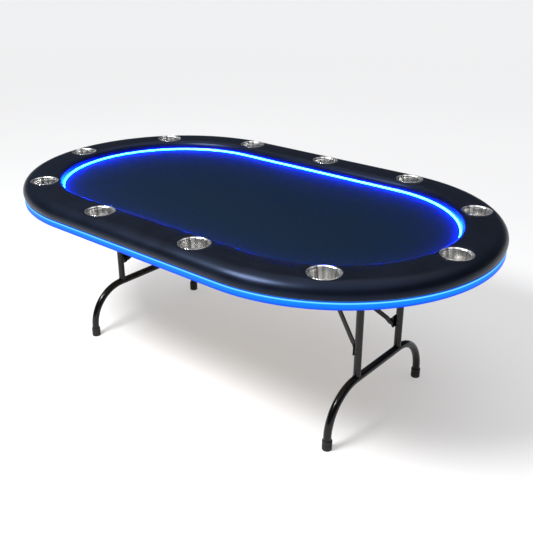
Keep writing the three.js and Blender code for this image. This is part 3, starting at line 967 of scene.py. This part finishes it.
# ---- legs
# Each piece is drawn for the right leg; the left one is its mirror image.
tube_low, tube_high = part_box("foot_tube_right")
leg_x = (tube_low.x + tube_high.x) / 2
foot_radius = (tube_high.x - tube_low.x) / 2
foot_y = tube_high.y - foot_radius
run_z = tube_high.z - foot_radius
pivot_low, pivot_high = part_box("pivot_tube_right")
pivot_radius = (pivot_high.z - pivot_low.z) / 2
pivot_z = (pivot_high.z + pivot_low.z) / 2
upright_low, upright_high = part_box("upright_back_right")
upright_radius = (upright_high.y - upright_low.y) / 2
upright_y = (upright_high.y + upright_low.y) / 2


def foot_tube_shape():
    bend_y = foot_y - FOOT_BEND
    bend_z = run_z - FOOT_BEND
    line = [(-foot_y, tube_low.z)]
    line += arc(-bend_y, bend_z, FOOT_BEND, 180, 90, BEND_STEPS)
    line += arc(bend_y, bend_z, FOOT_BEND, 90, 0, BEND_STEPS)
    line += [(foot_y, tube_low.z)]
    sections = []
    for i, (y, z) in enumerate(line):
        before = Vector(line[max(i - 1, 0)])
        after = Vector(line[min(i + 1, len(line) - 1)])
        along = (after - before).normalized()
        section = []
        for k in range(TUBE_SIDES):
            turn = 2 * math.pi * k / TUBE_SIDES
            across = foot_radius * math.cos(turn)
            up = foot_radius * math.sin(turn)
            section.append((leg_x + across, y - along.y * up, z + along.x * up))
        sections.append(section)
    return loft(sections)


def weld(y, other_radius, level, rise):
    """A rippled fillet weld where an upright meets a tube that runs along y."""
    sections = []
    for i in range(WELD_STEPS):
        turn = 2 * math.pi * i / WELD_STEPS
        out_x = math.cos(turn)
        out_y = math.sin(turn)
        over = max(other_radius**2 - (upright_radius * out_x) ** 2, 0)
        z = level + rise * math.sqrt(over)
        size = WELD_BEAD * (1 + WELD_RIPPLE * math.cos(turn * WELD_SCALES))
        section = []
        for k in range(8):
            lean = 2 * math.pi * k / 8
            reach = upright_radius + size * math.cos(lean)
            section.append((leg_x + out_x * reach, y + out_y * reach, z + size * math.sin(lean)))
        sections.append(section)
    return loft(sections, loop=True)


def make_leg_frame(side_name, side):
    foot = foot_tube_shape()
    add_piece("bent_foot_" + side_name, foot, "paint", ["foot_tube_" + side_name], side=side)
    inner = pivot_radius - TUBE_WALL
    wall = [
        (inner, pivot_low.y + EDGE),
        (inner + EDGE, pivot_low.y),
        (pivot_radius - EDGE, pivot_low.y),
        (pivot_radius, pivot_low.y + EDGE),
        (pivot_radius, pivot_high.y - EDGE),
        (pivot_radius - EDGE, pivot_high.y),
        (inner + EDGE, pivot_high.y),
        (inner, pivot_high.y - EDGE),
    ]
    cross_tube = lathe(wall, (leg_x, 0, pivot_z), TUBE_SIDES, "y")
    add_piece("cross_tube_" + side_name, cross_tube, "paint", ["pivot_tube_" + side_name], side=side)
    for row, sign in ROWS.items():
        y = sign * upright_y
        name = row + "_" + side_name
        bar = lathe([(0, run_z), (upright_radius, run_z), (upright_radius, pivot_z), (0, pivot_z)],
                    (leg_x, y, 0), TUBE_SIDES)
        bar = merged(bar, weld(y, foot_radius, run_z, 1), weld(y, pivot_radius, pivot_z, -1))
        add_piece("leg_tube_" + name, bar, "paint", ["upright_" + name], side=side)
        make_rivets(name, y, side)
        make_foot_cap(name, sign, side)
        make_hinge(name, sign, side)
        make_tab(name, sign, side)


def make_rivets(name, y, side):
    """Two rivets through each upright, one above the other, below the brace's tab."""
    heads = []
    for step in (0, 1):
        z = arm_end.y + RIVET_DROP - step * RIVET_SPACING
        for way in (-1, 1):
            start = upright_radius - 0.5 * MM
            head = [(radius, way * (start + height)) for radius, height in dome(RIVET_HEAD, 2.2 * MM)]
            heads.append(lathe(head, (leg_x, y, z), HEAD_STEPS, "y"))
    add_piece("leg_rivets_" + name, merged(*heads), "paint", on="upright_" + name, side=side)


def make_foot_cap(name, sign, side):
    low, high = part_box("foot_cap_" + name)
    radius = (high.x - low.x) / 2
    top = high.z
    profile = [(0, 0), (radius - 3 * MM, 0), (radius - 0.9 * MM, 0.7 * MM), (radius, 2.6 * MM)]
    profile += [(radius - 0.1 * MM, top * 0.66), (radius - 0.9 * MM, top * 0.69)]
    profile += [(radius - 0.9 * MM, top * 0.73), (radius, top * 0.76), (radius, top - 1.6 * MM)]
    profile += [(radius - 1.2 * MM, top), (foot_radius + 0.1 * MM, top)]
    profile += [(foot_radius + 0.1 * MM, CAP_SOLE), (0, CAP_SOLE)]
    shape = lathe(profile, (leg_x, sign * foot_y, 0), CAP_STEPS)
    add_piece("rubber_foot_" + name, shape, "rubber", ["foot_cap_" + name], side=side, sharp=CUP_SHARP)


def bracket_shape(low, high, x, z, neck, ear):
    """A pressed bracket: a flat foot screwed to the deck, and an ear at each side."""
    foot = rounded(rectangle(low.x, low.y, high.x, high.y), BRACKET_ROUND, 6)
    pieces = [slab(foot, high.z - SHEET, high.z, turn=lambda x, y, z: (x, y, z))]
    outline = [(x - neck, high.z - SHEET / 2)]
    outline += arc(x, z, ear, 180, 360, 24)
    outline += [(x + neck, high.z - SHEET / 2)]
    for near, far in ((low.y, low.y + SHEET), (high.y - SHEET, high.y)):
        pieces.append(slab(outline, near, far))
    return merged(*pieces)


def make_hinge(name, sign, side):
    low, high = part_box("hinge_bracket_" + name)
    low, high = Vector(low), Vector(high)
    if side < 0:
        low.x, high.x = -high.x, -low.x
    shape = bracket_shape(low, high, leg_x, pivot_z, HINGE_NECK, pivot_z - low.z)
    add_piece("hinge_plate_" + name, shape, "zinc", ["hinge_bracket_" + name], side=side)
    y = (low.y + high.y) / 2
    places = [
        (x, y + row * HINGE_SCREW_Y, high.z - SHEET)
        for x in (low.x + SCREW_MARGIN, high.x - SCREW_MARGIN)
        for row in (-1, 1)
    ]
    add_screws("hinge_screws_" + name, places, on="base_deck", side=side)


# ---- folding brace
knee = Vector((centre("knee_pin_right").x, centre("knee_pin_right").z))
stay_end = Vector((centre("stay_pin_right").x, centre("stay_pin_right").z))
arm_end = Vector((leg_x - BRACE_OFFSET, centre("brace_tab_back_right").z))
arm_inside = STAY_THICK / 2 + ARM_GAP


def make_tab(name, sign, side):
    low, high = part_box("brace_tab_" + name)
    face = leg_x - upright_radius - 0.3 * MM
    near = min(abs(low.y), abs(high.y))
    far = max(abs(low.y), abs(high.y))
    ear = [(face - SHEET / 2, low.z), (face - SHEET / 2, high.z)]
    ear += arc(arm_end.x, arm_end.y, TAB_EAR, 90, 270, 16)
    ear_low, ear_high = sorted((sign * near, sign * (near + SHEET)))
    foot_low, foot_high = sorted((sign * near, sign * far))
    foot = rectangle(foot_low, low.z, foot_high, high.z)
    shape = merged(
        slab(ear, ear_low, ear_high),
        slab(rounded(foot, TAB_ROUND), face - SHEET, face, turn=lambda y, z, x: (x, y, z)),
    )
    add_piece("brace_lug_" + name, shape, "paint", ["brace_tab_" + name], side=side)


def bar_shape(start, end, thick, offset):
    """A flat bar with round ends between two pins; offset gives its y at a length along it."""
    along = (end - start).normalized()
    across = Vector((-along.y, along.x))
    length = (end - start).length
    runs = []
    for i in range(BAR_END_STEPS + 1):
        turn = math.pi / 2 * i / BAR_END_STEPS
        runs.append((-BAR_HALF * math.cos(turn), BAR_HALF * math.sin(turn)))
    for i in range(1, BAR_STEPS):
        runs.append((length * i / BAR_STEPS, BAR_HALF))
    for i in range(BAR_END_STEPS + 1):
        turn = math.pi / 2 * i / BAR_END_STEPS
        runs.append((length + BAR_HALF * math.sin(turn), BAR_HALF * math.cos(turn)))
    sections = []
    for way, half in runs:
        half = max(half, EDGE)
        y = offset(way)
        section = []
        for up, out in rounded(rectangle(-half, -thick / 2, half, thick / 2), EDGE * 1.6):
            place = start + along * way + across * up
            section.append((place.x, y + out, place.y))
        sections.append(section)
    return loft(sections)


def make_brace(side_name, side):
    arm_length = (arm_end - knee).length
    tab_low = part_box("brace_tab_back_right")[0]
    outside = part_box("brace_arm_back_right")[1].y
    inner_y = arm_inside + ARM_THICK / 2
    outer_y = outside - ARM_THICK / 2

    def arm_y(way):
        share = (way - TINE_LENGTH) / (arm_length - ARM_HEEL - TINE_LENGTH)
        return inner_y + (outer_y - inner_y) * min(max(share, 0), 1)

    for row, sign in ROWS.items():
        name = row + "_" + side_name
        shape = bar_shape(knee, arm_end, ARM_THICK, lambda way: sign * arm_y(way))
        add_piece("brace_bar_" + name, shape, "paint", ["brace_arm_" + name], side=side)
        inner = outside - ARM_THICK
        outer = tab_low.y + SHEET
        low, high = sorted((sign * inner, sign * outer))
        heads = [(0, low - PIN_HEAD_RISE)]
        heads += [(PIN_HEAD * 0.8, low - PIN_HEAD_RISE), (PIN_HEAD, low), (PIN_RADIUS, low)]
        heads += [(PIN_RADIUS, high), (PIN_HEAD, high), (PIN_HEAD * 0.8, high + PIN_HEAD_RISE)]
        heads += [(0, high + PIN_HEAD_RISE)]
        pin = lathe(heads, (arm_end.x, 0, arm_end.y), PIN_STEPS, "y")
        add_piece("brace_pin_" + name, pin, "paint", on="brace_arm_" + name, side=side)
    stay = bar_shape(knee, stay_end, STAY_THICK, lambda way: 0.0)
    add_piece("stay_flat_" + side_name, stay, "paint", ["stay_bar_" + side_name], side=side)
    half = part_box("knee_pin_right")[1].y
    pin = [(0, -half - 0.3 * MM), (PIN_RADIUS - EDGE, -half), (PIN_RADIUS, EDGE - half)]
    pin += [(radius, -height) for radius, height in reversed(pin)]
    pin = lathe(pin, (knee.x, 0, knee.y), PIN_STEPS, "y")
    add_piece("knee_rivet_" + side_name, pin, "zinc", ["knee_pin_" + side_name], side=side)
    make_stay_bracket(side_name, side)
    make_lock_ring(side_name, side)


def make_stay_bracket(side_name, side):
    low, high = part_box("stay_bracket_right")
    ear = stay_end.y - low.z
    shape = bracket_shape(low, high, stay_end.x, stay_end.y, STAY_NECK, ear)
    add_piece("stay_plate_" + side_name, shape, "zinc", ["stay_bracket_" + side_name], side=side)
    places = [
        (x, 0, high.z - SHEET) for x in (low.x + SCREW_MARGIN, high.x - SCREW_MARGIN)
    ]
    add_screws("stay_screws_" + side_name, places, on="base_deck", side=side)
    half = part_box("stay_pin_right")[1].y
    seat = high.y
    profile = [(0, -half), (PIN_HEAD * 0.7, -half), (PIN_HEAD, -seat - EDGE), (PIN_HEAD, -seat)]
    profile += [(PIN_RADIUS, -seat)]
    profile += [(radius, -height) for radius, height in reversed(profile)]
    pin = lathe(profile, (stay_end.x, 0, stay_end.y), PIN_STEPS, "y")
    add_piece("stay_rivet_" + side_name, pin, "zinc", ["stay_pin_" + side_name], side=side)


def make_lock_ring(side_name, side):
    """A band bent round the brace; it slides over the knee and keeps it straight."""
    along = (stay_end - knee).normalized()
    across = Vector((-along.y, along.x))
    half_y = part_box("lock_ring_right")[1].y - RING_WALL / 2
    half_z = BAR_HALF + RING_GAP + RING_WALL / 2
    path = rounded(rectangle(-half_y, -half_z, half_y, half_z), BRACKET_ROUND, 6)
    wall = RING_WALL / 2
    low = RING_LEAD - RING_LENGTH
    band = rounded(rectangle(low, -wall, RING_LEAD, wall), EDGE)
    sections = []
    for i, (y, up) in enumerate(path):
        before = Vector(path[i - 1])
        after = Vector(path[(i + 1) % len(path)])
        tangent = (after - before).normalized()
        normal = Vector((tangent.y, -tangent.x))
        section = []
        for way, out in band:
            place = knee + along * way + across * (up + normal.y * out)
            section.append((place.x, y + normal.x * out, place.y))
        sections.append(section)
    shape = loft(sections, loop=True)
    add_piece("lock_band_" + side_name, shape, "zinc", ["lock_ring_" + side_name], side=side)


# ---- the hidden boards keep their frame shapes
def dress_boards():
    for node in ("rail_board", "rail_spacer_ring"):
        mesh = frame["nodes"][node].data
        mesh.materials.clear()
        mesh.materials.append(materials["board"])


# ---- studio
def make_studio():
    mesh = bpy.data.meshes.new("studio_floor")
    corners = [(x, y, 0) for x, y in rectangle(-FLOOR_HALF, -FLOOR_HALF, FLOOR_HALF, FLOOR_HALF)]
    mesh.from_pydata(corners, [], [(0, 1, 2, 3)])
    floor = bpy.data.objects.new("studio_floor", mesh)
    bpy.context.scene.collection.objects.link(floor)
    material, tree = new_material("painted_floor")
    place = add_node(tree, "TexCoord").outputs["Object"]
    far = add_node(tree, "VectorMath", {"operation": "LENGTH"}, {0: place})
    share = add_node(
        tree, "MapRange", {"From Min": 0.0, "From Max": FLOOR_FADE}, {"Value": far.outputs["Value"]}
    )
    # Painted light: the floor's glow stands in for the studio walls' light, paler away from the table.
    tone = add_node(
        tree,
        "ValToRGB",
        links={"Fac": share.outputs["Result"]},
        stops=[(0.0, grey(0.58)), (0.12, grey(0.60)), (0.34, grey(0.78)), (1.0, grey(0.86))],
    )
    close_material(
        tree,
        {"Base Color": grey(0.52), "Roughness": 0.9, "Emission Strength": FLOOR_GLOW},
        {"Emission Color": tone.outputs["Color"]},
    )
    mesh.materials.append(material)
    world = bpy.data.worlds.new("studio_sky")
    bpy.context.scene.world = world
    world.use_nodes = True
    tree = world.node_tree
    tree.nodes.clear()
    way = add_node(tree, "TexCoord").outputs["Generated"]
    up = add_node(tree, "SeparateXYZ", links={"Vector": way})
    sky = add_node(
        tree,
        "ValToRGB",
        links={"Fac": up.outputs["Z"]},
        stops=[
            (0.0, (0.05, 0.06, 0.08, 1)),
            (0.50, (0.07, 0.085, 0.12, 1)),
            (0.66, (0.16, 0.17, 0.20, 1)),
            (0.80, grey(1.0)),
            (1.0, grey(1.7)),
        ],
    )
    light = add_node(tree, "Background", links={"Color": sky.outputs["Color"]})
    wall = add_node(tree, "Background", {"Color": grey(0.84)})
    seen = add_node(tree, "LightPath").outputs["Is Camera Ray"]
    both = add_node(
        tree,
        "MixShader",
        links={0: seen, 1: light.outputs["Background"], 2: wall.outputs["Background"]},
    )
    add_node(tree, "OutputWorld", links={"Surface": both.outputs["Shader"]})


def add_softbox(name):
    lamp = bpy.data.lights.new(name, "AREA")
    lamp.shape = "RECTANGLE"
    lamp.size = LAMP_WIDTH
    lamp.size_y = LAMP_HEIGHT
    lamp.energy = LAMP_WATTS
    holder = bpy.data.objects.new(name, lamp)
    bpy.context.scene.collection.objects.link(holder)
    holder.location = LAMP_PLACE
    ahead = Vector(LAMP_AIM) - Vector(LAMP_PLACE)
    holder.rotation_euler = ahead.to_track_quat("-Z", "Y").to_euler()


def add_camera():
    turn = math.radians(VIEW_TURN)
    drop = math.radians(VIEW_DROP)
    ahead = Vector(
        (-math.sin(turn) * math.cos(drop), math.cos(turn) * math.cos(drop), -math.sin(drop))
    )
    camera = bpy.data.cameras.new("view")
    camera.sensor_width = 36
    camera.lens = VIEW_LENS
    holder = bpy.data.objects.new("view", camera)
    bpy.context.scene.collection.objects.link(holder)
    holder.location = Vector(VIEW_AIM) - ahead * VIEW_REACH
    holder.rotation_euler = ahead.to_track_quat("-Z", "Y").to_euler()
    bpy.context.scene.camera = holder
    bpy.context.scene.view_settings.view_transform = "Standard"


add_camera()
make_studio()
add_softbox("front_softbox")
make_rail_cover()
make_cups()
make_playing_surface()
make_outer_band()
make_inner_band()
make_controller()
for side_name, side in SIDES.items():
    make_leg_frame(side_name, side)
    make_brace(side_name, side)
dress_boards()
